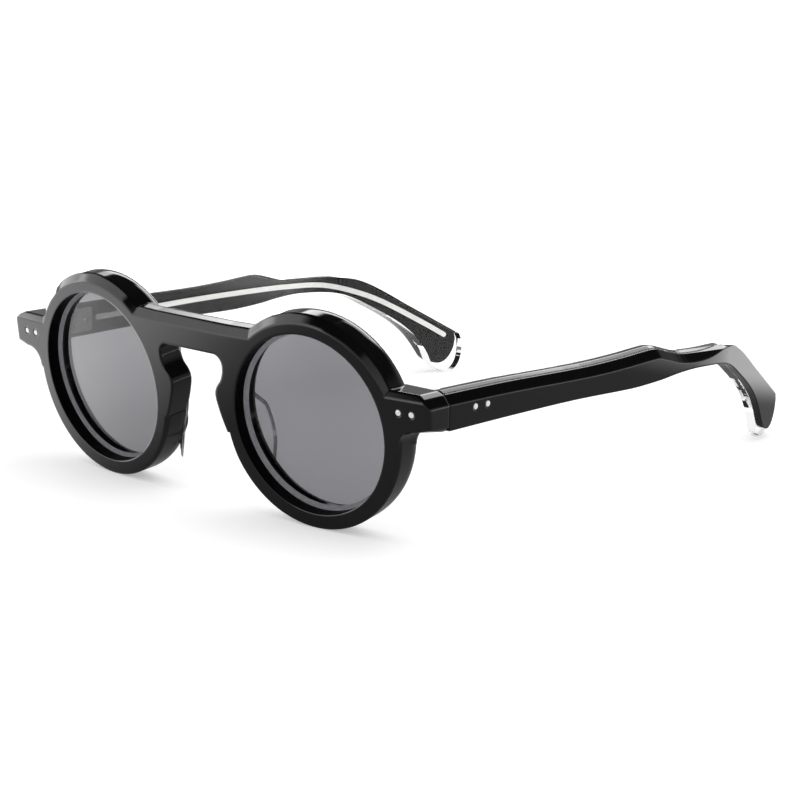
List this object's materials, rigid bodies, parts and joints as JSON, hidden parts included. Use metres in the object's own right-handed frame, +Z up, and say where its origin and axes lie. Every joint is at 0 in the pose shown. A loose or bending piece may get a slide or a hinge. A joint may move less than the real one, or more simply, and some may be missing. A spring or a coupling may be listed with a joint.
{
  "type": "sunglasses",
  "caption": "Round-lens sunglasses with a flat-topped keyhole bridge, nose pads, riveted barrel hinges and layered black-over-clear temples that fold inward.",
  "frame": {"origin": "on the table plane and the symmetry plane, midway along Y between the rims' front and the temple tips' ends (middle of the box's base)", "axes": "+X to the wearer's left, +Y from the lenses back to the temple tips, +Z up; the part stands on its two rims and two tips with the temples open"},
  "size_m": [0.1362, 0.1602, 0.049],
  "materials": {
    "black_acetate": "polished gloss",
    "clear_acetate": "polished clear",
    "smoke_lens": "polished smoke grey",
    "hinge_steel": "satin",
    "rivet_metal": "polished",
    "core_metal": "rolled and bright"
  },
  "bodies": {
    "front": {"front_frame": "black_acetate", "lens_left": "smoke_lens", "lens_right": "smoke_lens", "nose_pad_left": "clear_acetate", "nose_pad_right": "clear_acetate", "front_hinge_left": "hinge_steel", "front_hinge_right": "hinge_steel", "hinge_screw_left": "hinge_steel", "hinge_screw_right": "hinge_steel", "front_rivets_left": "rivet_metal", "front_rivets_right": "rivet_metal"},
    "left_temple": {"temple_left": "black_acetate", "temple_liner_left": "clear_acetate", "core_wire_left": "core_metal", "temple_hinge_left": "hinge_steel", "temple_rivets_left": "rivet_metal"},
    "right_temple": {"temple_right": "black_acetate", "temple_liner_right": "clear_acetate", "core_wire_right": "core_metal", "temple_hinge_right": "hinge_steel", "temple_rivets_right": "rivet_metal"}
  },
  "joints": [
    {"name": "left_fold", "type": "hinge", "parent": "front", "child": "left_temple", "pos_m": [0.06005, -0.06604, 0.03087], "axis": [0, -0.0785, 0.9969], "range_deg": [0, 88]},
    {"name": "right_fold", "type": "hinge", "parent": "front", "child": "right_temple", "pos_m": [-0.06005, -0.06604, 0.03087], "axis": [0, 0.0785, -0.9969], "range_deg": [0, 77]}
  ]
}
